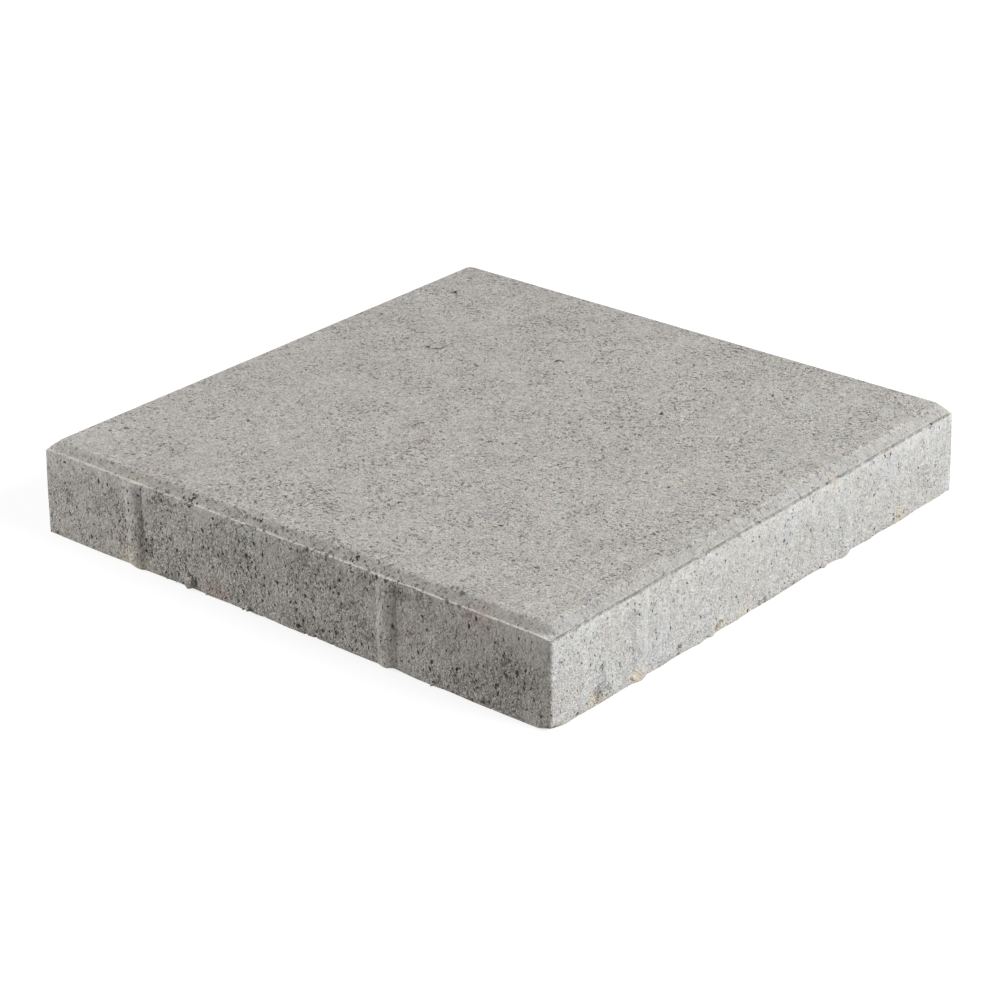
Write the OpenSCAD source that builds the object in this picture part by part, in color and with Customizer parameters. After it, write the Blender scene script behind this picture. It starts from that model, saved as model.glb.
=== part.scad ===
// Square paving slab in pressed concrete: bevelled upper face, spacer ribs on its four sides.
// Frame: millimetres, +Z up, origin at the centre of the underside.

/* [Slab] */
// Length of one side, between opposite faces, ribs not counted
slab_side = 450; // [300:10:600]
// Thickness, from the underside to the upper face
slab_thickness = 70; // [40:1:120]
// Radius of the four upright corners
corner_radius = 3; // [1:0.5:8]

/* [Bevelled edge] */
// Width of the bevel, seen from above
bevel_width = 6; // [2:0.5:15]
// Drop of the bevel, measured down from the upper face
bevel_drop = 6; // [2:0.5:15]
// Width of the narrow flat land between the bevel and the side face
land_width = 2; // [0.5:0.25:6]
// Radius of the upper face's corners, inside the bevel
rim_corner_radius = 4; // [1:0.5:20]

/* [Spacer ribs] */
// Width of a rib where it meets the side face
rib_width = 17; // [8:0.5:30]
// How far a rib stands out from the side face
rib_projection = 2; // [1:0.25:4]
// From a side's left end, seen from outside, to the middle of its first rib
rib_from_left = 88; // [50:1:140]
// From the same side's right end to the middle of its second rib
rib_from_right = 134; // [50:1:140]

/* [Hidden] */

SIDES = 4;
half_side = slab_side / 2;
arris_height = slab_thickness - bevel_drop;

// The bevel's lower and upper edges, as distances from the middle of the slab
bevel_foot = half_side - land_width;
bevel_rim = bevel_foot - bevel_width;

// Middle of each rounded corner of the bevel, on both axes
bevel_corner = bevel_rim - rim_corner_radius;

// A rib's outline is a shallow circle that cuts the side face over rib_width
rib_radius = (rib_width * rib_width / 4 + rib_projection * rib_projection) / (2 * rib_projection);
rib_places = [rib_from_left, slab_side - rib_from_right];
rib_root = rib_projection + 1;

$fn = 96;

// Square with rounded corners, seen from above
module square_outline() {
    inner = slab_side - 2 * corner_radius;
    square([slab_side, inner], center = true);
    square([inner, slab_side], center = true);
    for (x = [-inner / 2, inner / 2], y = [-inner / 2, inner / 2])
        translate([x, y]) circle(r = corner_radius);
}

// One rib on the side that faces -Y: the part of its circle near the side face
module rib_outline(place) {
    translate([place - half_side, -half_side])
        intersection() {
            translate([0, rib_radius - rib_projection]) circle(r = rib_radius);
            square([2 * rib_width, 2 * rib_root], center = true);
        }
}

// The slab's outline: the ribs sit at the same places on every side, turned round the middle
module slab_outline() {
    square_outline();
    for (turn = [0 : SIDES - 1], place = rib_places)
        rotate(turn * 360 / SIDES) rib_outline(place);
}

// Bar along X between the bevel's corners, with its two long edges bevelled
module bevelled_bar() {
    rotate([90, 0, 90])
        linear_extrude(height = 2 * bevel_corner, center = true)
            polygon([
                [-bevel_foot, 0], [bevel_foot, 0],
                [bevel_rim, bevel_drop], [-bevel_rim, bevel_drop]
            ]);
}

// The raised face inside the land: two crossed bars, with a cone at each corner
module bevelled_face() {
    bevelled_bar();
    rotate(90) bevelled_bar();
    for (x = [-bevel_corner, bevel_corner], y = [-bevel_corner, bevel_corner])
        translate([x, y])
            cylinder(h = bevel_drop, r1 = rim_corner_radius + bevel_width, r2 = rim_corner_radius);
}

module slab() {
    color("darkgray") {
        linear_extrude(height = arris_height) slab_outline();
        translate([0, 0, arris_height]) bevelled_face();
    }
}

slab();
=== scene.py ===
"""Looks of a pressed concrete paving slab: one closed mesh, worn and pitted, and its concrete."""

import math
import random
import bmesh
import bpy
from types import SimpleNamespace
from mathutils import Matrix, Vector, noise


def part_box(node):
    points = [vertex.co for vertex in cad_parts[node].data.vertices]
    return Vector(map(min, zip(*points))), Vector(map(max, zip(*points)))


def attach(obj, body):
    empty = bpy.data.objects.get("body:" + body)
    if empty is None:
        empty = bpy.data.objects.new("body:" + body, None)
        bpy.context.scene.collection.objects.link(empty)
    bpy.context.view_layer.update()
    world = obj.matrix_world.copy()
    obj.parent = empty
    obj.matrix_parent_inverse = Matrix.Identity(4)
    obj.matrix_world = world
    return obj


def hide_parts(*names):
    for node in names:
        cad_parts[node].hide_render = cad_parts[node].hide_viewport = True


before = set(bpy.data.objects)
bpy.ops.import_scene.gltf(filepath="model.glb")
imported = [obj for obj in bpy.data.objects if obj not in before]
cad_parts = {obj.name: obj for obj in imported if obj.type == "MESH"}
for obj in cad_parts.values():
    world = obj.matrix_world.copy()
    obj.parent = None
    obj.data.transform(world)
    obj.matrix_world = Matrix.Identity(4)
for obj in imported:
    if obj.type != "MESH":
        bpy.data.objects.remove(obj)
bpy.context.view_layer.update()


# --- Camera, lights and floor ---------------------------------------------------------------
# A studio sweep in matt white, so pale that the slab seems to stand on nothing. A soft box far
# to the right and a little behind is the key, a weaker one on the left fills the dark side, and
# the white room around gives the rest.

MM = 0.001
SENSOR = 36.0
LENS = 108.2
CAMERA_AZIMUTH = 40.2
CAMERA_ELEVATION = 25.07
CAMERA_ROLL = -0.47
CAMERA_DISTANCE = 2048.7 * MM
AIM = Vector((32.8 * MM, -44.1 * MM, 35.0 * MM))

FLOOR_SIZE = 12.0
FLOOR_DROP = 0.05 * MM                  # keeps the floor clear of the slab's flat underside
FLOOR_GLOW = 0.80                       # lifts the sweep to white without more light on the slab
ROOM_STRENGTH = 0.295


def direction(azimuth, elevation):
    """Unit vector out of the slab's middle: azimuth 0 is -Y and 90 is +X, in degrees."""
    a, e = math.radians(azimuth), math.radians(elevation)
    return Vector((math.sin(a) * math.cos(e), -math.cos(a) * math.cos(e), math.sin(e)))


def linear(hex_colour):
    """sRGB hex to a linear colour with alpha."""
    shares = [int(hex_colour[i:i + 2], 16) / 255 for i in (0, 2, 4)]
    return (*(s / 12.92 if s <= 0.04045 else ((s + 0.055) / 1.055) ** 2.4 for s in shares), 1.0)


def studio_camera():
    """A long lens that looks down on the corner between the -Y and +X sides, rolled slightly."""
    data = bpy.data.cameras.new("camera")
    data.lens = LENS
    data.sensor_width = SENSOR
    data.clip_start = 0.05
    data.clip_end = 50.0
    camera = bpy.data.objects.new("camera", data)
    bpy.context.collection.objects.link(camera)
    back = direction(CAMERA_AZIMUTH, CAMERA_ELEVATION)
    turn = (-back).to_track_quat("-Z", "Y").to_matrix().to_4x4()
    roll = Matrix.Rotation(math.radians(CAMERA_ROLL), 4, "Z")
    camera.matrix_world = Matrix.Translation(AIM + back * CAMERA_DISTANCE) @ turn @ roll
    bpy.context.scene.camera = camera


def soft_box(name, azimuth, elevation, distance, width, height, power, colour):
    """A rectangular lamp that faces the slab."""
    data = bpy.data.lights.new(name, "AREA")
    data.shape = "RECTANGLE"
    data.size = width
    data.size_y = height
    data.energy = power
    data.color = linear(colour)[:3]
    lamp = bpy.data.objects.new(name, data)
    bpy.context.collection.objects.link(lamp)
    back = direction(azimuth, elevation)
    turn = (-back).to_track_quat("-Z", "Y").to_matrix().to_4x4()
    lamp.matrix_world = Matrix.Translation(back * distance) @ turn


def white_floor():
    """A square of matt white paint that the slab stands on and that lights nothing back."""
    half = FLOOR_SIZE / 2
    mesh = bpy.data.meshes.new("floor")
    corners = [(-half, -half), (half, -half), (half, half), (-half, half)]
    mesh.from_pydata([(x, y, -FLOOR_DROP) for x, y in corners], [], [(0, 1, 2, 3)])
    floor = bpy.data.objects.new("floor", mesh)
    bpy.context.collection.objects.link(floor)
    paint = bpy.data.materials.new("matt_white_sweep")
    paint.use_nodes = True
    shader = paint.node_tree.nodes["Principled BSDF"]
    shader.inputs["Base Color"].default_value = linear("8A8A8A")
    shader.inputs["Roughness"].default_value = 1.0
    shader.inputs["Specular IOR Level"].default_value = 0.0
    shader.inputs["Emission Color"].default_value = linear("FFFFFF")
    shader.inputs["Emission Strength"].default_value = FLOOR_GLOW
    mesh.materials.append(paint)
    floor.visible_diffuse = False


studio_camera()
soft_box("key", 105, 33, 3.0, 1.8, 1.2, 142.0, "F8FBFF")
soft_box("fill", -62, 14, 2.0, 1.0, 0.8, 40.0, "FDFDFF")
white_floor()

room = bpy.data.worlds.new("white_room")
room.use_nodes = True
room.node_tree.nodes["Background"].inputs["Color"].default_value = linear("FFFCF9")
room.node_tree.nodes["Background"].inputs["Strength"].default_value = ROOM_STRENGTH
bpy.context.scene.world = room
bpy.context.scene.view_settings.view_transform = "Standard"


# --- Slab -----------------------------------------------------------------------------------
# One block of earth-dry concrete, pressed and vibrated in a steel mould and stripped upwards at
# once. The plate gives it the flat face and the clean bevel, the mould's walls give it the
# spacer ribs, and the open side of the mould leaves the other arris ragged.

# Worn block: the moulded shape, with its arrises and corners rubbed and chipped

low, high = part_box("slab")
RIB_PROJECTION = 2.0 * MM
HALF = high.x - RIB_PROJECTION          # middle of the slab to a side face
THICKNESS = high.z
BEVEL_DROP = 6.0 * MM
BEVEL_WIDTH = 6.0 * MM
LAND_WIDTH = 2.0 * MM
ARRIS = THICKNESS - BEVEL_DROP
CORNER_RADIUS = 3.0 * MM
RIM_RADIUS = 4.0 * MM
RIM_SOFTNESS = 1.3 * MM                 # how far the bevel's upper and lower bends are rubbed
FOOT_SOFTNESS = 0.7 * MM
RIB_WIDTH = 17.0 * MM
RIB_TAPER = 6.0 * MM                    # a rib sinks from this far under the arris
RIB_TAPER_SHARE = 0.4                   # and has lost this share of its height at the arris
RIB_RADIUS = (RIB_WIDTH ** 2 / 4 + RIB_PROJECTION ** 2) / (2 * RIB_PROJECTION)
RIB_MIDDLES = (-HALF + 88.0 * MM, HALF - 134.0 * MM)   # along a side, from its left end

# The block's mesh: distances of its rings from the outline, heights of its rows as shares of
# the side, and the longest edges on the face, the sides and the arrises
RING_STEPS = [d * MM for d in (0, 0.7, 1.4, 2.1, 2.9, 4, 5.5, 6.8, 7.6, 8.4, 9.4, 10.8, 13)]
SIDE_ROWS = (0, 0.03, 0.08, 0.18, 0.31, 0.44, 0.57, 0.7, 0.83, 0.93, 0.98, 1)
CELL = 16.0 * MM
SIDE_CELL = 9.0 * MM
EDGE_CELL = 4.5 * MM

# Wear: the upper corners are rubbed, and the lower arris crumbles
WORN_CORNERS = {(-1, -1): 2.2, (1, 1): 3.2, (1, -1): 1.0, (-1, 1): 1.5}   # depth in mm
CORNER_REACH = 7.0 * MM
CORNER_PUSH = 0.4                       # how much of its wear a corner takes inwards as well
CORNER_BITE = 4.2                       # height in mm that the foot of one corner has lost
CRUMBLE_DEPTH = 2.5 * MM                # how far in, and how far up, the lower arris crumbles
CRUMBLE_HEIGHT = 12.0 * MM

# Bites out of the lower arris: distance along the side from its left end, height and reach in
# mm. A height below zero is a place that kept more of its edge.
FRONT_BITES = ((138, 3.0, 9), (257, 1.4, 4), (324, 1.6, 7), (370, 1.4, 9))
RIGHT_BITES = ((26, 1.3, 6), (98, 1.2, 4), (130, 1.1, 6), (151, -0.9, 6), (168, 0.9, 5),
               (186, -0.9, 5), (204, 1.6, 5), (262, 1.2, 15), (312, -1.6, 8), (331, 1.8, 7),
               (346, -0.8, 5), (364, 2.6, 4), (385, -0.8, 8), (424, 1.0, 8))


def grid_lines():
    """Places of the mesh's lines across the slab: close at the bevel and at the ribs."""
    edge = [HALF - d for d in RING_STEPS]
    rib = [m + share * RIB_WIDTH for m in RIB_MIDDLES for share in (-0.5, -0.25, 0, 0.25, 0.5)]
    fixed = sorted({round(sign * x, 7) for x in edge + rib for sign in (-1, 1)})
    lines = []
    for start, end in zip(fixed, fixed[1:]):
        steps = max(1, round((end - start) / CELL))
        lines += [start + (end - start) * i / steps for i in range(steps)]
    return lines + [fixed[-1]]


def rounded(x, y, half, radius):
    """Move a point of a square ring onto the same ring with rounded corners."""
    inner = half - radius
    near = Vector((max(-inner, min(inner, x)), max(-inner, min(inner, y))))
    out = Vector((x, y)) - near
    if out.x and out.y:
        return near + out.normalized() * radius
    return Vector((x, y))


def rib_height(along):
    """How far a spacer rib stands out of the side at this place, which is a shallow circle."""
    for middle in RIB_MIDDLES:
        off = abs(along - middle)
        if off < RIB_WIDTH / 2:
            return math.sqrt(RIB_RADIUS ** 2 - off ** 2) - (RIB_RADIUS - RIB_PROJECTION)
    return 0.0


def rib_push(x, y, depth):
    """The outward shift of the outline and the land over a spacer rib."""
    share = max(0.0, 1 - depth / LAND_WIDTH)
    if share == 0:
        return Vector((0, 0))
    if abs(x) > abs(y):
        sign = 1 if x > 0 else -1
        return Vector((sign * rib_height(sign * y) * share, 0))
    sign = 1 if y > 0 else -1
    return Vector((0, sign * rib_height(-sign * x) * share))


def wave(point, length, seed):
    """Smooth random value from -1 to 1 that changes over about this length."""
    return noise.noise(Vector(point) / length + Vector((seed * 17.3, seed * 5.1, seed * 9.7)))


def top_height(x, y):
    """Height of the upper side: a flat land, the bevel, and the face, with a softened rim."""
    corner = HALF - LAND_WIDTH - BEVEL_WIDTH - RIM_RADIUS
    out = Vector((max(0.0, abs(x) - corner), max(0.0, abs(y) - corner)))
    inside = RIM_RADIUS + BEVEL_WIDTH - out.length
    if out.length == 0:
        return THICKNESS
    rise = inside * BEVEL_DROP / BEVEL_WIDTH
    rise = (rise + BEVEL_DROP - math.hypot(rise - BEVEL_DROP, RIM_SOFTNESS)) / 2
    return ARRIS + (rise + math.hypot(rise, FOOT_SOFTNESS)) / 2


def lattice_point(x, y, ring, row, rows):
    """Where a vertex of the clean lattice goes. Ring 0 is the outline; row 0 is the underside."""
    depth = HALF - max(abs(x), abs(y))
    radius = CORNER_RADIUS if ring == 0 else max(0.0, RING_STEPS[-1] - depth)
    flat = rounded(x, y, HALF - depth, radius) if depth < RING_STEPS[-1] else Vector((x, y))
    top = top_height(*flat)
    z = top * SIDE_ROWS[row] if ring == 0 else (top if row == rows else 0.0)
    taper = 1 - RIB_TAPER_SHARE * max(0.0, min(1.0, (z - ARRIS) / RIB_TAPER + 1))
    flat = flat + rib_push(x, y, depth) * taper
    return (flat.x, flat.y, z)


def ragged_edge(x, y):
    """How far the lower arris is broken away upwards at this place on the outline, in metres."""
    crumbled = 0.1 + 0.6 * abs(wave((x, y, 0), 0.028, 1)) + 1.5 * max(0, wave((x, y, 0), 0.009, 2))
    crumbled += 0.6 * max(0, min(1, 1.2 + y / HALF)) + 1.8 * max(0, (x + y) / (2 * HALF)) ** 2
    for on_side, along, bites in ((y < -HALF + 1 * MM, x, FRONT_BITES), (x > HALF - 1 * MM, y, RIGHT_BITES)):
        if on_side:
            crumbled += sum(height * math.exp(-(((along + HALF) / MM - place) / reach) ** 2)
                            for place, height, reach in bites)
    from_corner = math.hypot((x - HALF) / (6 * MM), (y + HALF) / (10 * MM))
    crumbled += CORNER_BITE * math.exp(-from_corner ** 2)
    return max(0.0, crumbled) * MM


def worn(place):
    """Where the pull out of the mould, handling and stacking leave this point of the clean slab."""
    x, y, z = place
    inner = HALF - CORNER_RADIUS
    out = Vector((x - max(-inner, min(inner, x)), y - max(-inner, min(inner, y)), 0))
    depth = HALF - max(abs(x), abs(y))
    point = Vector(place)

    # The lower arris is broken away, most at the outline and at the very bottom
    near_edge = math.exp(-max(0.0, depth) / CRUMBLE_DEPTH)
    point.z += ragged_edge(x, y) * near_edge * max(0.0, 1 - z / CRUMBLE_HEIGHT)

    # The upper corners are rubbed down and inwards
    for (cx, cy), fall in WORN_CORNERS.items():
        away = math.hypot(x - cx * HALF, y - cy * HALF)
        wear = fall * MM * math.exp(-(away / CORNER_REACH) ** 2) * (z / THICKNESS) ** 2
        point -= Vector((CORNER_PUSH * cx, CORNER_PUSH * cy, 1.0)) * wear

    # The upper arris is nibbled, and the walking face is not quite flat
    if z > ARRIS - 1 * MM:
        nibble = 0.9 * max(0, wave(place, 0.006, 8) - 0.25) + 0.5 * max(0, wave(place, 0.016, 9) - 0.25)
        point.z -= nibble * MM * math.exp(-max(0.0, depth) / (1.2 * MM))
        point.z -= 0.1 * MM * (1 + wave((x, y, 0), 0.045, 5)) + 0.08 * MM * abs(wave((x, y, 0), 0.012, 6))
    if z <= 0:
        point.z += 0.3 * MM * max(0.0, wave((x, y, 0), 0.02, 7))

    # The sides are a little wavy and draw in at both arrises
    if out.length and depth < 0.2 * MM:
        bow = 0.3 * (0.6 + wave(place, 0.035, 3)) + 0.35 * max(0, wave(place, 0.007, 4))
        bow += 0.5 * math.exp(-z / (1.5 * MM)) + 0.1 * math.exp(-(ARRIS - z) / (0.6 * MM))
        point -= out.normalized() * max(0.0, bow) * MM
    return point


def body_mesh():
    """The whole slab as one closed lattice, finer on its sides and arrises, before its pits."""
    lines = grid_lines()
    last, rows = len(lines) - 1, len(SIDE_ROWS) - 1
    number, places = {}, []

    def vertex(i, j, k):
        if (i, j, k) not in number:
            number[i, j, k] = len(places)
            ring = min(i, j, last - i, last - j)
            places.append(lattice_point(lines[i], lines[j], ring, k, rows))
        return number[i, j, k]

    faces = []
    for i in range(last):
        for j in range(last):
            faces.append([vertex(*c, rows) for c in ((i, j), (i + 1, j), (i + 1, j + 1), (i, j + 1))])
            faces.append([vertex(*c, 0) for c in ((i, j), (i, j + 1), (i + 1, j + 1), (i + 1, j))])
        for k in range(rows):
            for a, b in (((i, 0), (i + 1, 0)), ((last, i), (last, i + 1)),
                         ((i + 1, last), (i, last)), ((0, i + 1), (0, i))):
                faces.append([vertex(*a, k), vertex(*b, k), vertex(*b, k + 1), vertex(*a, k + 1)])
    mesh = bpy.data.meshes.new("slab_body")
    mesh.from_pydata(places, [], faces)
    shell = bmesh.new()
    shell.from_mesh(mesh)
    for limit, edge_only in ((SIDE_CELL, False), (EDGE_CELL, True), (EDGE_CELL, True)):
        long_edges = [e for e in shell.edges if e.calc_length() > limit * 1.2 and all(
            HALF - max(abs(v.co.x), abs(v.co.y)) < 0.3 * MM
            and (not edge_only or v.co.z < 2.1 * MM or v.co.z > ARRIS - 2 * MM) for v in e.verts)]
        bmesh.ops.subdivide_edges(shell, edges=long_edges, cuts=1, use_grid_fill=True)
    for v in shell.verts:
        v.co = worn(v.co)
    bmesh.ops.triangulate(shell, faces=shell.faces)
    shell.to_mesh(mesh)
    shell.free()
    return mesh


body = bpy.data.objects.new("slab_body", body_mesh())
bpy.context.collection.objects.link(body)


# Nicks, tears and lumps: the few larger knocks and blobs that one slab gets at chosen places.
# Each is made of crooked pebbles that are taken out of the body, or joined to it.

NICKS = (   # middle x, y, z and half sizes x, y, z, in mm
    (-87.5, -224.8, 64.4, 3.4, 1.8, 1.8), (-81.5, -224.8, 64.4, 3.4, 1.8, 1.8),
    (-26, -225.0, 64.2, 5.5, 2.2, 2.0), (-16, -221.4, 67.4, 2.0, 1.8, 1.8),
    (24, -225.2, 63.0, 1.9, 1.8, 2.2), (84, -226.2, 62.6, 1.9, 2.2, 2.4),
    (93, -226.6, 62.8, 2.6, 2.0, 1.8), (142, -225.2, 63.6, 2.2, 1.9, 1.9),
    (151.5, -225.2, 63.4, 2.6, 1.9, 1.7), (-195, -174, 70.6, 3.6, 2.6, 2.2),
    (-201, -184, 70.3, 2.0, 1.5, 1.5), (-224.9, -202, 64.2, 1.9, 2.8, 1.8),
    (-80.2, -225.2, 6.6, 1.3, 2.2, 4.4), (171, -225.2, 3.0, 2.4, 1.7, 2.0),
    (198, -225.4, 33, 2.0, 1.8, 2.4), (190, -225.4, 27, 1.8, 1.7, 2.2),
    (182, -225.4, 19, 2.2, 1.8, 1.8), (203, -225.4, 24, 1.5, 1.5, 2.3),
    (225.2, 44, 63.6, 1.9, 2.4, 2.4), (225.2, 144, 64.0, 2.0, 2.8, 1.8),
    (225.2, 193, 62.4, 2.0, 2.4, 2.6), (225.4, -191, 5.5, 1.6, 2.2, 1.7),
    (225.4, -177, 7.5, 1.8, 2.2, 2.4), (225.4, -171, 4.0, 1.5, 2.0, 1.5),
    (225.4, -177, 26, 1.4, 1.8, 1.6), (225.4, -95, 6.8, 1.7, 2.6, 2.0),
    (225.4, -57, 4.0, 1.6, 2.4, 1.5), (225.4, -51, 7.2, 1.7, 2.2, 2.2),
    (225.4, -3, 4.0, 1.6, 2.4, 2.0), (225.4, 130, 3.2, 1.7, 2.6, 1.8),
    (225.4, 151, 5.5, 1.5, 1.9, 1.7), (225.4, 158, 5.2, 1.6, 2.4, 1.8),
    (225.4, 168, 6.8, 1.4, 1.9, 1.5),
)
LUMPS = (   # middle and half sizes, as for the nicks
    (-86.4, -225.0, 5.4, 4.2, 3.0, 5.0), (-87.0, -225.0, 10.6, 1.6, 1.6, 2.2),
    (225.0, -141.5, 5.2, 1.3, 5.2, 2.6), (225.0, -62, 3.2, 1.4, 3.4, 2.4),
    (225.0, 66, 3.6, 1.3, 3.0, 2.2), (-32, -225.0, 2.8, 2.6, 1.3, 2.2),
)
TEARS = (   # bent lines in the walking face, in mm
    ((-67, 128), (-66, 136), (-61, 138), (-55, 141), (-49, 150)),
    ((-40, 105), (-41, 109), (-38, 110), (-34, 108)),
    ((-132, 68), (-126, 69), (-121, 71), (-122, 81)),
    ((-156, 160), (-152, 164), (-150, 168)), ((-151, 183), (-146, 186)),
    ((-190, 163), (-189, 168), (-187, 172)),
)
FACE_HOLES = (   # middle x and y and radius, in mm
    (-79, 64, 1.3), (-9, 127, 1.2), (20, 90, 1.2), (76, 80, 1.3), (42, 163, 1.2), (-72, 171, 1.5),
    (-150, 139, 1.3), (-174, 72, 1.3), (0, 56, 1.1), (-47, 54, 1.1), (154, -16, 1.6), (114, 207, 1.4),
    (118, 154, 1.3), (183, 155, 1.4), (197, 52, 1.6), (77, 78, 1.4), (221, 174, 1.4), (73, 133, 1.3),
)
CRUMBLED = ((-84.5, 7.5, 26), (-25.0, 5.5, 9), (62.0, 5.0, 7))   # middle x, reach, number of holes
HOLE_STEP = 0.9                         # mm between the holes of a tear
SMALL_PEBBLE = 1.5 * MM                 # up to this half size a pebble has only 20 faces


def crumbled_holes():
    """Small deep holes that crowd together where the front arris and its bevel have crumbled."""
    dice = random.Random(4)
    holes = []
    for middle, reach, number in CRUMBLED:
        for _ in range(number):
            along, depth = dice.gauss(0, 0.5) * reach, dice.uniform(-2.5, 6.5)
            y = -HALF / MM + max(0.0, depth)
            z = ARRIS / MM + min(0.0, depth) + max(0.0, depth - LAND_WIDTH / MM)
            holes.append((middle + along, y, z, dice.uniform(0.6, 1.3), dice.uniform(0.6, 1.3), 1.5))
    return holes


def torn_holes():
    """Hairline tears in the walking face, each a chain of tiny holes along a bent line."""
    dice = random.Random(9)
    holes = []
    for tear in TEARS:
        for (x, y), (next_x, next_y) in zip(tear, tear[1:]):
            steps = max(1, round(math.hypot(next_x - x, next_y - y) / HOLE_STEP))
            for step in range(steps):
                share = step / steps
                middle = (x + (next_x - x) * share + dice.gauss(0, 0.15),
                          y + (next_y - y) * share + dice.gauss(0, 0.15), THICKNESS / MM)
                half_sizes = [dice.uniform(0.55, 0.9), dice.uniform(0.55, 0.9), dice.uniform(0.7, 1.4)]
                holes.append((*middle, *half_sizes))
    return holes


def crooked_pebbles(name, places):
    """One mesh of pebbles with uneven skins."""
    shell = bmesh.new()
    for place in places:
        middle, half = Vector(place[:3]) * MM, Vector(place[3:]) * MM
        rounds = 2 if max(half) > SMALL_PEBBLE else 1
        pebble = bmesh.ops.create_icosphere(shell, subdivisions=rounds, radius=1.0)
        for v in pebble["verts"]:
            swell = 1 + 0.45 * noise.noise(v.co * 1.3 + middle / MM)
            v.co = middle + Vector([c * h * swell for c, h in zip(v.co, half)])
    mesh = bpy.data.meshes.new(name)
    shell.to_mesh(mesh)
    shell.free()
    pebbles = bpy.data.objects.new(name, mesh)
    bpy.context.collection.objects.link(pebbles)
    return pebbles


face_holes = [(x, y, THICKNESS / MM, size, 1.3 * size, 1.6) for x, y, size in FACE_HOLES]
nicks = crooked_pebbles("nicks", [*NICKS, *face_holes, *crumbled_holes(), *torn_holes()])
lumps = crooked_pebbles("lumps", LUMPS)
joint = body.modifiers.new("lumps", "BOOLEAN")
joint.object = lumps
joint.operation = "UNION"
joint.solver = "MANIFOLD"


# Pits: the dry mix never closes up fully. Wherever cement paste is short, a sand grain's gap
# stays open at the skin: fine ones over the walking face, coarser and denser ones on the sides.
# The arrises lose grains in the pull, and the lower one gathers crumbs.

PITS = {   # least spacing, smallest and largest radius, seed
    "top fine": (4.7 * MM, 0.5 * MM, 1.0 * MM, 1),
    "top coarse": (8.0 * MM, 0.8 * MM, 1.8 * MM, 2),
    "side fine": (3.9 * MM, 0.6 * MM, 1.3 * MM, 3),
    "side coarse": (4.8 * MM, 0.8 * MM, 1.9 * MM, 4),
    "under": (18.0 * MM, 1.2 * MM, 3.0 * MM, 5),
    "arris chips": (5.0 * MM, 0.5 * MM, 1.5 * MM, 6),
    "foot chips": (4.6 * MM, 0.8 * MM, 2.8 * MM, 7),
    "crumbs": (3.5 * MM, 0.5 * MM, 1.2 * MM, 8),
}
PIT_SIZES = {name + " " + part: value for name, values in PITS.items()
             for part, value in zip(("spacing", "smallest", "largest", "seed"), values)}

ANY_WAY = 3.14                          # radians, either way, that a pit is turned in the skin
UPRIGHT = 0.6                           # the pull draws the pits on a side out upwards

PLENTY = 0.62                           # at this share of paste a place has the fewest pits
SHORT = 0.36                            # and at this one the most
SHORT_SEEN = 0.38                       # where its colour already looks as bare as it gets
PATCH_SIZE = 34 * MM                    # size of the paste-rich and paste-poor patches
FULL_SIDE_PASTE = 0.26                  # the +X wall was filled best
PASTE_PLACES = (   # middle x, y, z and reach in mm, and how much more paste there is
    (190, -225, 34, 44, -0.16), (-10, -225, 15, 130, -0.10), (-205, -205, 70, 55, 0.14),
    (205, -205, 70, 60, 0.16), (-150, -225, 60, 40, 0.06), (225, -185, 5, 30, -0.05),
    (-85.5, -227, 6, 10, 0.40), (95, -225, 35, 45, 0.08), (150, -225, 60, 30, 0.05),
    (225, -177, 9, 14, -0.30), (225, -176, 25, 10, -0.25), (225, -95, 5, 10, -0.22),
    (225, -53, 5, 12, -0.30), (225, -3, 3, 11, -0.22), (225, 155, 5, 15, -0.28),
    (225, 166, 27, 9, -0.22), (225, -142, 50, 9, -0.12), (-203, -225, 37, 14, -0.12),
    (-159, -225, 53, 10, -0.12), (198, -225, 27, 16, -0.12), (-72, -215, 68, 28, -0.10),
)


def node(tree, kind, inputs=None, output=0, **settings):
    """Add a node and give one of its outputs. Inputs and outputs go by socket name or number.

    An input is a value, an output to link, or a list of outputs to link one after the other.
    """
    made = tree.nodes.new(kind)
    for name, value in settings.items():
        setattr(made, name, value)
    for key, value in (inputs or {}).items():
        for source in value if isinstance(value, list) else [value]:
            if isinstance(source, bpy.types.NodeSocket):
                tree.links.new(source, made.inputs[key])
            else:
                made.inputs[key].default_value = source
    return made.outputs[output]


def paste_patches(tree, position):
    """Share of cement paste at a position in metres: where it is short, pits gather."""
    paste = node(tree, "ShaderNodeTexNoise", {
        "Vector": position, "Scale": 1 / PATCH_SIZE, "Detail": 2.0, "Roughness": 0.6}, output="Fac")
    for x, y, z, reach, change in PASTE_PLACES:
        away = node(tree, "ShaderNodeVectorMath", {
            0: position, 1: (x * MM, y * MM, z * MM)}, output="Value", operation="DISTANCE")
        share = node(tree, "ShaderNodeMapRange", {
            0: away, 1: 0.0, 2: reach * MM, 3: change, 4: 0.0}, interpolation_type="SMOOTHSTEP")
        paste = node(tree, "ShaderNodeMath", {0: paste, 1: share})
    x = node(tree, "ShaderNodeSeparateXYZ", {0: position}, output="X")
    full_side = node(tree, "ShaderNodeMapRange", {
        0: x, 1: HALF - 7 * MM, 2: HALF - 1 * MM, 3: 0.0, 4: FULL_SIDE_PASTE})
    return node(tree, "ShaderNodeMath", {0: paste, 1: full_side})


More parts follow.
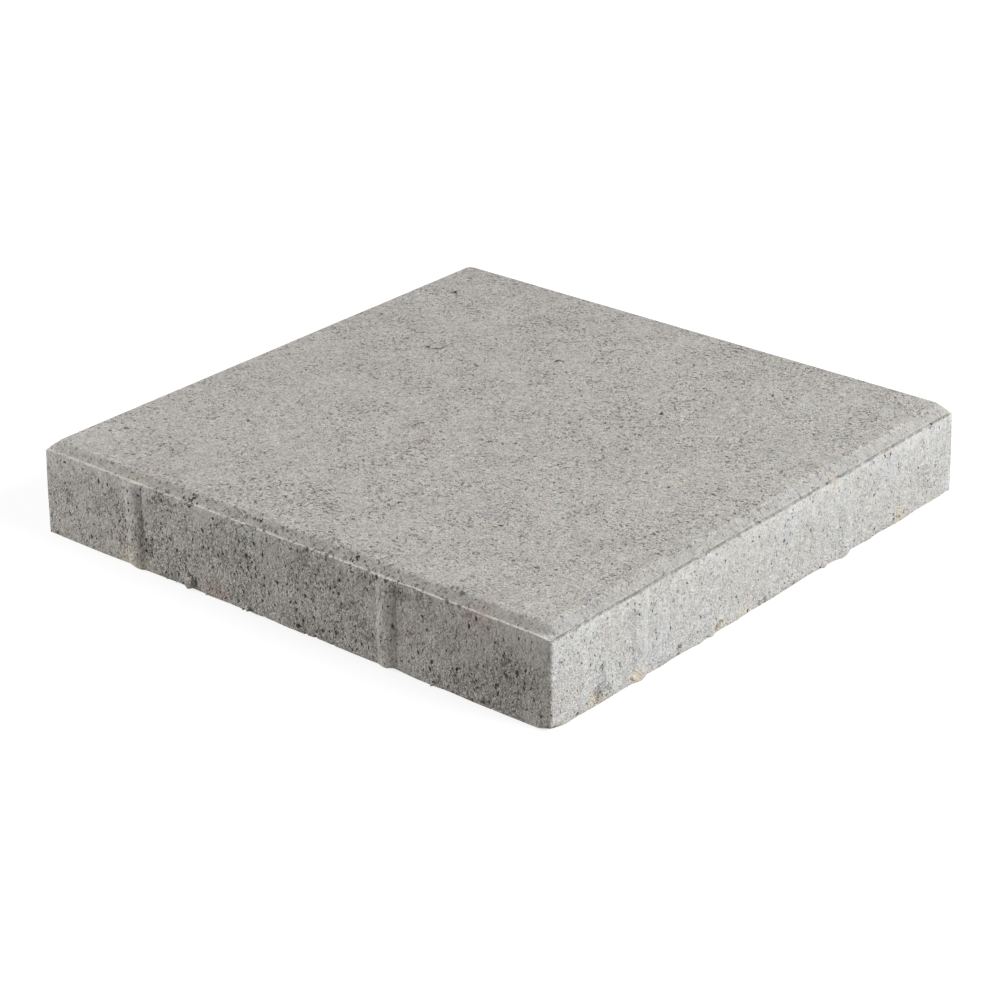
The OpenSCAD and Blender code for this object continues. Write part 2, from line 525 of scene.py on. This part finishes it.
def pit_pass(tree, sizes, mesh, region, name, cutter, spin=ANY_WAY, operation="DIFFERENCE"):
    """Scatter grains over a region of the mesh and take them out of it, or join them to it."""
    points = node(tree, "GeometryNodeDistributePointsOnFaces", {
        "Mesh": mesh, "Distance Min": sizes[name + " spacing"], "Density Max": 1e6,
        "Density Factor": region, "Seed": sizes[name + " seed"]}, distribute_method="POISSON")
    upright = node(tree, "FunctionNodeAlignRotationToVector", {
        "Rotation": points.node.outputs["Rotation"], "Vector": (0, 0, 1)}, axis="Y", pivot_axis="Z")
    tilt = node(tree, "FunctionNodeRandomValue", {
        0: (-0.5, -0.5, -spin), 1: (0.5, 0.5, spin), "Seed": 7}, data_type="FLOAT_VECTOR")
    turned = node(tree, "FunctionNodeRotateRotation", {
        "Rotation": upright, "Rotate By": tilt}, rotation_space="LOCAL")
    uneven = node(tree, "FunctionNodeRandomValue", {
        0: (0.45, 0.75, 0.7), 1: (0.9, 1.6, 1.4), "Seed": 11}, data_type="FLOAT_VECTOR")
    spread = node(tree, "FunctionNodeRandomValue", {2: 0.0, 3: 1.0, "Seed": 13}, output=1)
    mostly_small = node(tree, "ShaderNodeMath", {0: spread, 1: 1.6}, operation="POWER")
    size = node(tree, "ShaderNodeMapRange", {
        0: mostly_small, 3: sizes[name + " smallest"], 4: sizes[name + " largest"]})
    scale = node(tree, "ShaderNodeVectorMath", {0: uneven, "Scale": size}, operation="SCALE")
    grains = node(tree, "GeometryNodeInstanceOnPoints", {
        "Points": points, "Instance": cutter, "Rotation": turned, "Scale": scale})
    solid = node(tree, "GeometryNodeRealizeInstances", {0: grains})
    pair = {"Mesh 1": mesh, "Mesh 2": solid}
    if operation == "UNION":
        pair = {"Mesh 2": [mesh, solid]}
    return node(tree, "GeometryNodeMeshBoolean", pair, operation=operation, solver="MANIFOLD")


def pit_tree(material):
    """The tree that joins crumbs to the block, cuts nicks and pits, and marks how deep they are."""
    tree = bpy.data.node_groups.new("pits", "GeometryNodeTree")
    tree.interface.new_socket(name="Mesh", in_out="INPUT", socket_type="NodeSocketGeometry")
    tree.interface.new_socket(name="Mesh", in_out="OUTPUT", socket_type="NodeSocketGeometry")
    for name in PIT_SIZES:
        kind = "NodeSocketInt" if name.endswith("seed") else "NodeSocketFloat"
        tree.interface.new_socket(name=name, in_out="INPUT", socket_type=kind)
    block = node(tree, "NodeGroupInput", output="Mesh")
    sizes = {socket.name: socket for socket in block.node.outputs}
    upward = node(tree, "GeometryNodeInputNormal", output="True Normal")
    upward = node(tree, "ShaderNodeSeparateXYZ", {0: upward}, output="Z")
    position = node(tree, "GeometryNodeInputPosition")
    height = node(tree, "ShaderNodeSeparateXYZ", {0: position}, output="Z")

    def facing(lowest, highest):
        """Faces whose normal points up by more than the one and less than the other."""
        above = node(tree, "ShaderNodeMath", {0: upward, 1: lowest}, operation="GREATER_THAN")
        below = node(tree, "ShaderNodeMath", {0: upward, 1: highest}, operation="LESS_THAN")
        return node(tree, "ShaderNodeMath", {0: above, 1: below}, operation="MULTIPLY")

    def clustered(region, fewest, most):
        """A region thinned out: the most pits where paste is short, the fewest where there is plenty."""
        share = node(tree, "ShaderNodeMapRange", {
            0: paste_patches(tree, position), 1: PLENTY, 2: SHORT, 3: fewest, 4: most})
        return node(tree, "ShaderNodeMath", {0: region, 1: share}, operation="MULTIPLY")

    def near(region, middle, reach):
        """The part of a region within reach of a height, in metres."""
        off = node(tree, "ShaderNodeMath", {0: height, 1: middle}, operation="SUBTRACT")
        off = node(tree, "ShaderNodeMath", {0: off}, operation="ABSOLUTE")
        share = node(tree, "ShaderNodeMapRange", {0: off, 1: reach, 2: 0.6 * reach, 3: 0.0, 4: 1.0})
        return node(tree, "ShaderNodeMath", {0: region, 1: share}, operation="MULTIPLY")

    grain = node(tree, "GeometryNodeMeshUVSphere", {"Segments": 5, "Rings": 2, "Radius": 1.0})
    pebble = node(tree, "GeometryNodeMeshIcoSphere", {"Radius": 1.0, "Subdivisions": 1})
    top, sides, under = facing(0.5, 2.0), facing(-0.5, 0.5), facing(-2.0, -0.5)
    face = facing(0.9, 2.0)
    crumb_places = clustered(near(sides, 1 * MM, 4 * MM), 0.1, 0.45)
    crumbed = pit_pass(tree, sizes, block, crumb_places, "crumbs", pebble, operation="UNION")

    # Nothing may stand out of the slab's box
    inside = node(tree, "ShaderNodeVectorMath", {0: position, 1: tuple(low)}, operation="MAXIMUM")
    inside = node(tree, "ShaderNodeVectorMath", {0: inside, 1: tuple(high)}, operation="MINIMUM")
    uncut = node(tree, "GeometryNodeSetPosition", {0: crumbed, "Position": inside})

    knocks = node(tree, "GeometryNodeObjectInfo", {"Object": nicks}, output="Geometry")
    mesh = node(tree, "GeometryNodeMeshBoolean", {
        "Mesh 1": uncut, "Mesh 2": knocks}, operation="DIFFERENCE", solver="MANIFOLD")
    for name, region, cutter, spin in (
            ("arris chips", clustered(near(sides, ARRIS, 3 * MM), 0.05, 0.3), pebble, ANY_WAY),
            ("foot chips", clustered(near(sides, 0.0, 3.5 * MM), 0.3, 0.9), pebble, ANY_WAY),
            ("top fine", clustered(top, 0.1, 0.6), grain, ANY_WAY),
            ("top coarse", clustered(face, 0.05, 0.7), grain, ANY_WAY),
            ("side fine", clustered(sides, 0.22, 0.7), grain, UPRIGHT),
            ("side coarse", clustered(sides, 0.15, 0.7), grain, UPRIGHT),
            ("under", clustered(under, 0.1, 0.6), grain, ANY_WAY)):
        mesh = pit_pass(tree, sizes, mesh, region, name, cutter, spin)

    depth = node(tree, "GeometryNodeProximity", {0: uncut}, output="Distance", target_element="FACES")
    marked = node(tree, "GeometryNodeStoreNamedAttribute", {
        0: mesh, "Name": "pit_depth", "Value": depth}, data_type="FLOAT")
    whole = node(tree, "GeometryNodeRealizeInstances", {0: marked})
    painted = node(tree, "GeometryNodeSetMaterial", {0: whole, "Material": material})
    leave = tree.nodes.new("NodeGroupOutput")
    tree.links.new(painted, leave.inputs[0])
    return tree


# Pressed concrete: grey cement, sand to 2 mm and water just enough to bind. It is matt all over,
# with open gaps between the grains, and cleaner where a steel face pressed it. Sizes are in mm.

CONCRETE = "C0BCB5"
PIT_DIRT_AND_SHADE = "6E6B66"                     # the bottom of a pit: dust and damp, and painted shade where light hardly reaches
LAITANCE = "BBBDBE"                     # cement skin without sand, slightly blue
TAN_FRINGE = "BFAE90"                   # fine mortar that ran out at the open side of the mould
RUST = "8C7C5E"
OCHRE = "D3C4A8"
RED_SAND = "B59A8E"
SPOTS = (   # middle x, y, z and radius in mm, colour and strength
    (-45.9, -46.7, 70, 5.0, RUST, 0.45), (-22.5, -60.7, 70, 6.5, RUST, 0.4),
    (225, -141.5, 5, 8.0, OCHRE, 0.65), (225, -182, 5, 9.0, OCHRE, 0.5), (225, -52, 5, 8, OCHRE, 0.5),
    (225, -25, 3, 8.0, OCHRE, 0.4), (225, 159, 4, 10.0, OCHRE, 0.5), (168, -225, 60, 14.0, RED_SAND, 0.3),
    (-140, -225, 3, 20.0, OCHRE, 0.25), (-62, -225, 1, 16.0, RED_SAND, 0.4), (225, 75, 62, 9.0, OCHRE, 0.25),
)

SAND_GRAIN = 1.5
SAND_STIR = 1.4                         # how coarsely and how far the grains' outlines wander
SAND_STIR_REACH = 1.2
FINE_SAND = 1.3                         # the real fines are under 0.5 mm and wouldn't show
SMALLER_ON_TOP = 1.17                   # the plate works finer grains to the walking face
SAND_TONE = 1.3                         # how much a dark grain differs from a pale one
GRAIN_SHARE = 0.28                      # how much of the sand's tone goes by whole grains
TINT_PATCH = 7.0
MOTTLES = {   # size of the lumps, detail, roughness, stretch upwards below 1, distortion
    "grit": (6.5, 2.0, 0.6, (1, 1, 1), 0.0),
    "clouds": (42.0, 2.0, 0.5, (1, 1, 1), 0.0),
    "drag marks": (2.2, 1.5, 0.5, (1, 1, 0.11), 0.0),
    "gaps": (2.6, 2.0, 0.55, (1, 1, 0.7), 0.6),
    "pores": (1.5, 2.0, 0.6, (1, 1, 0.7), 0.5),
    "laitance": (26.0, 4.0, 0.65, (1, 1, 1), 0.0),
    "tan fringe": (16.0, 3.0, 0.6, (1, 1, 1), 0.0),
    "arris shadow": (7.0, 3.0, 0.7, (1, 1, 1), 0.0),
    "rubbed rim": (5.0, 2.0, 0.6, (1, 1, 1), 0.0),
}
RUB_DEPTH = 1.4                         # how unevenly the bevel's upper rim is rubbed
GAP_RIM = 0.05                          # softness of a hole's rim, in the pattern's own scale
PORE_RIM = 0.045
SHARP_BEND = 16                         # degrees: pits and chips keep crisp rims
SIDE_FACE = HALF / MM
ARRIS_HEIGHT = ARRIS / MM
FACE_HEIGHT = THICKNESS / MM


def slab_zones(tree):
    """The mottles, and masks from 0 to 1 for the parts of the slab that look different, all in mm."""
    zone = SimpleNamespace()
    metres = node(tree, "ShaderNodeTexCoord", output="Object")
    zone.place = node(tree, "ShaderNodeVectorMath", {0: metres, "Scale": 1 / MM}, operation="SCALE")
    zone.height = node(tree, "ShaderNodeSeparateXYZ", {0: zone.place}, output="Z")
    zone.width = node(tree, "ShaderNodeSeparateXYZ", {0: zone.place}, output="X")
    zone.mottle = {}
    for name, (size, detail, roughness, stretch, distortion) in MOTTLES.items():
        stretched = node(tree, "ShaderNodeVectorMath", {0: zone.place, 1: stretch}, operation="MULTIPLY")
        zone.mottle[name] = node(tree, "ShaderNodeTexNoise", {
            "Vector": stretched, "Scale": 1 / size, "Detail": detail, "Roughness": roughness,
            "Distortion": distortion}, output="Fac")

    def band(bottom, bottom_full, top_full, top):
        """Heights between bottom and top, full between the two in the middle."""
        rise = node(tree, "ShaderNodeMapRange", {0: zone.height, 1: bottom, 2: bottom_full})
        fall = node(tree, "ShaderNodeMapRange", {0: zone.height, 1: top, 2: top_full})
        return node(tree, "ShaderNodeMath", {0: rise, 1: fall}, operation="MULTIPLY")

    zone.side = node(tree, "ShaderNodeMapRange", {
        0: zone.height, 1: ARRIS_HEIGHT - 0.1, 2: ARRIS_HEIGHT - 1.0})
    zone.under_arris = node(tree, "ShaderNodeMapRange", {0: zone.height, 1: 34.0, 2: 62.0})
    zone.foot = node(tree, "ShaderNodeMapRange", {0: zone.height, 1: 6.0, 2: 1.0})
    zone.land = band(ARRIS_HEIGHT - 1.0, ARRIS_HEIGHT - 0.5, ARRIS_HEIGHT, ARRIS_HEIGHT + 0.4)

    # The bevel, with its upper rim rubbed unevenly, and the smoother one on the +X side
    wandering = node(tree, "ShaderNodeMath", {
        0: zone.mottle["rubbed rim"], 1: RUB_DEPTH, 2: zone.height}, operation="MULTIPLY_ADD")
    below_rim = node(tree, "ShaderNodeMapRange", {
        0: wandering, 1: FACE_HEIGHT + 0.3, 2: FACE_HEIGHT - 1.1})
    above_foot = node(tree, "ShaderNodeMapRange", {
        0: zone.height, 1: ARRIS_HEIGHT - 0.1, 2: ARRIS_HEIGHT + 0.4})
    zone.bevel = node(tree, "ShaderNodeMath", {0: below_rim, 1: above_foot}, operation="MULTIPLY")
    on_x_side = node(tree, "ShaderNodeMapRange", {0: zone.width, 1: SIDE_FACE - 9.5, 2: SIDE_FACE - 8.5})
    zone.smooth_bevel = node(tree, "ShaderNodeMath", {0: zone.bevel, 1: on_x_side}, operation="MULTIPLY")

    # The +X side, which the mix filled best, and the thin broken shadow along its arris
    zone.full_side = node(tree, "ShaderNodeMapRange", {0: zone.width, 1: SIDE_FACE - 1.0, 2: SIDE_FACE})
    at_arris = node(tree, "ShaderNodeMapRange", {0: zone.width, 1: SIDE_FACE - 1.3, 2: SIDE_FACE - 0.8})
    crease = band(ARRIS_HEIGHT - 2.0, ARRIS_HEIGHT - 1.5, ARRIS_HEIGHT + 0.3, ARRIS_HEIGHT + 0.6)
    zone.crease = node(tree, "ShaderNodeMath", {0: crease, 1: at_arris}, operation="MULTIPLY")

    # Where paste is short, and the laitance patches that cover sand and gaps on the sides
    paste = paste_patches(tree, metres)
    zone.open_skin = node(tree, "ShaderNodeMapRange", {0: paste, 1: PLENTY, 2: SHORT_SEEN})
    patch = node(tree, "ShaderNodeMapRange", {0: zone.mottle["laitance"], 1: 0.42, 2: 0.66})
    patch = node(tree, "ShaderNodeMath", {0: patch, 1: zone.under_arris}, operation="MULTIPLY")
    zone.laitance = node(tree, "ShaderNodeMath", {0: patch, 1: zone.side}, operation="MULTIPLY")
    zone.bare = node(tree, "ShaderNodeMapRange", {0: zone.laitance, 3: 1.0, 4: 0.55})
    return zone


def sand_and_holes(tree, zone):
    """The concrete's own patterns: sand grains, grit, drag marks, and the gaps and pores between."""
    look = SimpleNamespace()
    upper = node(tree, "ShaderNodeMath", {
        0: zone.height, 1: ARRIS_HEIGHT + 0.9}, operation="GREATER_THAN")
    tight = node(tree, "ShaderNodeMapRange", {0: upper, 3: 1.0, 4: SMALLER_ON_TOP})
    closer = node(tree, "ShaderNodeVectorMath", {0: zone.place, 1: tight}, operation="MULTIPLY")
    look.fine = node(tree, "ShaderNodeTexNoise", {
        "Vector": closer, "Scale": 1 / FINE_SAND, "Detail": 3.0, "Roughness": 0.8}, output="Fac")
    stir = node(tree, "ShaderNodeTexNoise", {
        "Vector": zone.place, "Scale": 1 / SAND_STIR, "Detail": 1.0}, output="Color")
    stirred = node(tree, "ShaderNodeVectorMath", {
        0: stir, 1: (SAND_STIR_REACH,) * 3, 2: zone.place}, operation="MULTIPLY_ADD")
    closeness = node(tree, "ShaderNodeMath", {0: tight, 1: 1 / SAND_GRAIN}, operation="MULTIPLY")
    look.off_grain = node(tree, "ShaderNodeTexVoronoi", {
        "Vector": stirred, "Scale": closeness, "Randomness": 1.0}, output="Distance")
    each_grain = look.off_grain.node.outputs["Color"]
    grain_tone = node(tree, "ShaderNodeSeparateXYZ", {0: each_grain}, output="X")
    look.grain_height = grain_tone.node.outputs["Y"]
    fine_tone = node(tree, "ShaderNodeMath", {0: look.fine, 1: 1 - GRAIN_SHARE}, operation="MULTIPLY")
    look.sand = node(tree, "ShaderNodeMath", {
        0: grain_tone, 1: GRAIN_SHARE, 2: fine_tone}, operation="MULTIPLY_ADD")
    look.grit = zone.mottle["grit"]
    look.drag = node(tree, "ShaderNodeMath", {
        0: zone.mottle["drag marks"], 1: zone.side}, operation="MULTIPLY")

    # Crooked gaps of 1 to 3 mm open where their pattern falls below a limit that paste lowers
    full = node(tree, "ShaderNodeMapRange", {0: zone.side, 3: 0.36, 4: 0.33})
    short = node(tree, "ShaderNodeMapRange", {0: zone.side, 3: 0.425, 4: 0.46})
    limit = node(tree, "ShaderNodeMapRange", {0: zone.open_skin, 3: full, 4: short})
    fall = node(tree, "ShaderNodeMath", {0: limit, 1: zone.mottle["gaps"]}, operation="SUBTRACT")
    unpressed = node(tree, "ShaderNodeMapRange", {0: zone.smooth_bevel, 3: 1.0, 4: 0.7})
    gap = node(tree, "ShaderNodeMapRange", {0: fall, 2: GAP_RIM})
    gap = node(tree, "ShaderNodeMath", {0: gap, 1: zone.bare}, operation="MULTIPLY")
    look.gap = node(tree, "ShaderNodeMath", {0: gap, 1: unpressed}, operation="MULTIPLY")

    # Pores are their smaller kind
    limit = node(tree, "ShaderNodeMapRange", {0: zone.side, 3: 0.37, 4: 0.40})
    fall = node(tree, "ShaderNodeMath", {0: limit, 1: zone.mottle["pores"]}, operation="SUBTRACT")
    unpressed = node(tree, "ShaderNodeMapRange", {0: zone.bevel, 3: 1.0, 4: 0.5})
    pore = node(tree, "ShaderNodeMapRange", {0: fall, 2: PORE_RIM})
    pore = node(tree, "ShaderNodeMath", {0: pore, 1: zone.bare}, operation="MULTIPLY")
    look.pore = node(tree, "ShaderNodeMath", {0: pore, 1: unpressed}, operation="MULTIPLY")

    # How strongly the sand shows through the cement skin
    full = node(tree, "ShaderNodeMapRange", {0: zone.side, 3: 1.1, 4: 0.8})
    short = node(tree, "ShaderNodeMapRange", {0: zone.side, 3: 1.24, 4: 1.6})
    shown = node(tree, "ShaderNodeMapRange", {0: zone.open_skin, 3: full, 4: short})
    for place, within in ((zone.bevel, 0.7), (zone.smooth_bevel, 0.95), (zone.land, 0.5),
                          (zone.full_side, 0.83)):
        share = node(tree, "ShaderNodeMapRange", {0: place, 3: 1.0, 4: within})
        shown = node(tree, "ShaderNodeMath", {0: shown, 1: share}, operation="MULTIPLY")
    look.sand_share = node(tree, "ShaderNodeMath", {0: shown, 1: zone.bare}, operation="MULTIPLY")
    return look


def brightness(tree, zone, look):
    """How much lighter or darker than plain paste each place is: one factor for each cause."""
    off_middle = node(tree, "ShaderNodeMath", {0: look.sand, 1: 0.5}, operation="SUBTRACT")
    strength = node(tree, "ShaderNodeMath", {0: look.sand_share, 1: SAND_TONE}, operation="MULTIPLY")
    shade = node(tree, "ShaderNodeMath", {0: off_middle, 1: strength, 2: 1.0}, operation="MULTIPLY_ADD")
    factors = []
    for pattern, darkest, lightest in (
            (look.grit, 0.91, 1.09), (zone.mottle["clouds"], 0.965, 1.035), (look.drag, 0.945, 1.065)):
        factors.append(node(tree, "ShaderNodeMapRange", {
            0: pattern, 1: 0.3, 2: 0.7, 3: darkest, 4: lightest}))

    # Painted shade in the holes, which the bump alone leaves unshaded: darkest on the walking face, paler on
    # the sides, palest on the full side
    for hole, on_face, on_side, on_full_side in (
            (look.gap, 0.46, 0.65, 0.75), (look.pore, 0.44, 0.70, 0.90)):
        tone = node(tree, "ShaderNodeMapRange", {0: zone.side, 3: on_face, 4: on_side})
        tone = node(tree, "ShaderNodeMapRange", {0: zone.full_side, 3: tone, 4: on_full_side})
        factors.append(node(tree, "ShaderNodeMapRange", {0: hole, 3: 1.0, 4: tone}))

    # Tone of each zone: painted shade on the bevel, a painted highlight on the land that turns to slight
    # painted shade near the +X side, the sides darker again with a paler strip under the arris, and a
    # painted shadow along the +X arris
    # painted shade: the bevel is darkened, a little more on the smoother +X bevel
    painted_bevel_shade = node(tree, "ShaderNodeMapRange", {0: zone.smooth_bevel, 3: 0.82, 4: 0.785})
    # painted highlight along the land, turning to slight painted shade near the +X side
    painted_land_light = node(tree, "ShaderNodeMapRange", {
        0: zone.width, 1: SIDE_FACE - 4.0, 2: SIDE_FACE - 2.0, 3: 1.07, 4: 0.97})
    # painted shadow, broken here and there, along the +X arris
    painted_arris_shadow = node(tree, "ShaderNodeMapRange", {
        0: zone.mottle["arris shadow"], 1: 0.40, 2: 0.56, 3: 0.85, 4: 0.52})
    strip = node(tree, "ShaderNodeMapRange", {0: zone.height, 1: 50.0, 2: 62.0})
    strip = node(tree, "ShaderNodeMath", {0: zone.side, 1: strip}, operation="MULTIPLY")
    for place, outside, within in (
            (zone.bevel, 1.0, painted_bevel_shade), (zone.land, 1.0, painted_land_light), (zone.side, 0.932, 0.882),
            (strip, 1.0, 1.08), (zone.crease, 1.0, painted_arris_shadow)):
        factors.append(node(tree, "ShaderNodeMapRange", {0: place, 3: outside, 4: within}))
    for factor in factors:
        shade = node(tree, "ShaderNodeMath", {0: shade, 1: factor}, operation="MULTIPLY")
    return shade


def tinted(tree, zone, look):
    """Colour before brightness: paste and aggregate shift a little to red, ochre or blue."""
    tint = node(tree, "ShaderNodeTexNoise", {
        "Vector": zone.place, "Scale": 1 / TINT_PATCH, "Detail": 3.0, "Roughness": 0.6}, output="Color")
    tint = node(tree, "ShaderNodeVectorMath", {
        0: tint, 1: (0.18, 0.13, 0.18), 2: (0.91, 0.935, 0.91)}, operation="MULTIPLY_ADD")
    colour = node(tree, "ShaderNodeVectorMath", {0: tint, 1: linear(CONCRETE)[:3]}, operation="MULTIPLY")

    # Laitance: under the arris on every side, and thinly all over the +X side and its bevel
    on_bevel = node(tree, "ShaderNodeMath", {0: zone.smooth_bevel, 1: 0.45}, operation="MULTIPLY")
    thin = node(tree, "ShaderNodeMath", {0: zone.full_side, 1: on_bevel}, operation="MAXIMUM")
    cloudy = node(tree, "ShaderNodeMapRange", {
        0: zone.mottle["clouds"], 1: 0.35, 2: 0.65, 3: 0.15, 4: 0.5})
    thin = node(tree, "ShaderNodeMath", {0: thin, 1: cloudy}, operation="MULTIPLY")
    thick = node(tree, "ShaderNodeMath", {0: zone.laitance, 1: 0.35}, operation="MULTIPLY")
    skin = node(tree, "ShaderNodeMath", {0: thick, 1: thin}, operation="MAXIMUM")

    # Fine tan mortar at the foot, and here and there along the +X arris
    at_arris = node(tree, "ShaderNodeMath", {0: zone.crease, 1: 0.9}, operation="MULTIPLY")
    fringe = node(tree, "ShaderNodeMath", {0: zone.foot, 1: at_arris}, operation="MAXIMUM")
    patch = node(tree, "ShaderNodeMapRange", {0: zone.mottle["tan fringe"], 1: 0.5, 2: 0.64, 4: 0.5})
    fringe = node(tree, "ShaderNodeMath", {0: fringe, 1: patch}, operation="MULTIPLY")

    coats = [(skin, LAITANCE), (fringe, TAN_FRINGE)]
    for x, y, z, radius, tone, strength in SPOTS:
        away = node(tree, "ShaderNodeVectorMath", {
            0: zone.place, 1: (x, y, z)}, output="Value", operation="DISTANCE")
        ragged = node(tree, "ShaderNodeMath", {0: look.grit, 1: 9.0, 2: away}, operation="MULTIPLY_ADD")
        coats.append((node(tree, "ShaderNodeMapRange", {
            0: ragged, 1: radius + 6.0, 2: radius * 0.4 + 3.0, 3: 0.0, 4: strength}), tone))
    for share, tone in coats:
        colour = node(tree, "ShaderNodeMix", {
            0: share, 6: colour, 7: linear(tone)}, output=2, data_type="RGBA")
    return colour


def relief(tree, zone, look):
    """Height of the skin in mm: grains stand up, gaps and pores sink, drag marks run upwards."""
    each = node(tree, "ShaderNodeMath", {0: look.grain_height, 1: 0.35}, operation="MULTIPLY")
    grains = node(tree, "ShaderNodeMath", {0: look.off_grain, 1: -0.5, 2: each}, operation="MULTIPLY_ADD")
    grains = node(tree, "ShaderNodeMath", {0: look.fine, 1: grains})
    height = node(tree, "ShaderNodeMath", {0: grains, 1: look.sand_share}, operation="MULTIPLY")
    grit = node(tree, "ShaderNodeMath", {0: look.grit, 1: zone.bare}, operation="MULTIPLY")
    for pattern, rise in ((look.gap, -0.7), (look.pore, -0.4), (grit, 1.3), (look.drag, 0.25)):
        height = node(tree, "ShaderNodeMath", {0: pattern, 1: rise, 2: height}, operation="MULTIPLY_ADD")
    return height


def pressed_concrete():
    """Earth-dry pressed concrete: matt, sandy and pitted, with fine drag marks on the sides."""
    material = bpy.data.materials.new("pressed_concrete")
    material.use_nodes = True
    tree = material.node_tree
    shader = tree.nodes["Principled BSDF"]
    shader.inputs["Roughness"].default_value = 0.95
    shader.inputs["Specular IOR Level"].default_value = 0.2

    zone = slab_zones(tree)
    look = sand_and_holes(tree, zone)
    colour = node(tree, "ShaderNodeVectorMath", {
        0: tinted(tree, zone, look), "Scale": brightness(tree, zone, look)}, operation="SCALE")

    # Pits get darker down to 1 mm: painted shade, as light hardly reaches there, and dust that rain doesn't
    # wash out
    depth = node(tree, "ShaderNodeAttribute", output="Fac", attribute_name="pit_depth")
    darkest = node(tree, "ShaderNodeMapRange", {0: zone.side, 3: 0.85, 4: 0.55})
    deep = node(tree, "ShaderNodeMapRange", {0: depth, 1: 0.05 * MM, 2: 1.0 * MM, 4: darkest})
    colour = node(tree, "ShaderNodeMix", {
        0: deep, 6: colour, 7: linear(PIT_DIRT_AND_SHADE)}, output=2, data_type="RGBA")
    bump = node(tree, "ShaderNodeBump", {
        "Height": relief(tree, zone, look), "Distance": MM, "Strength": 1.0})
    tree.links.new(colour, shader.inputs["Base Color"])
    tree.links.new(bump, shader.inputs["Normal"])
    return material


modifier = body.modifiers.new("pits", "NODES")
modifier.node_group = pit_tree(pressed_concrete())
for socket in modifier.node_group.interface.items_tree:
    if socket.name in PIT_SIZES:
        modifier[socket.identifier] = PIT_SIZES[socket.name]
done = body.evaluated_get(bpy.context.evaluated_depsgraph_get())
slab = bpy.data.objects.new("slab_concrete", bpy.data.meshes.new_from_object(done))
bpy.context.collection.objects.link(slab)
slab.data.shade_smooth()
slab.data.set_sharp_from_angle(angle=math.radians(SHARP_BEND))
for spare in (body, nicks, lumps):
    bpy.data.objects.remove(spare)
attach(slab, "root")
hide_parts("slab")
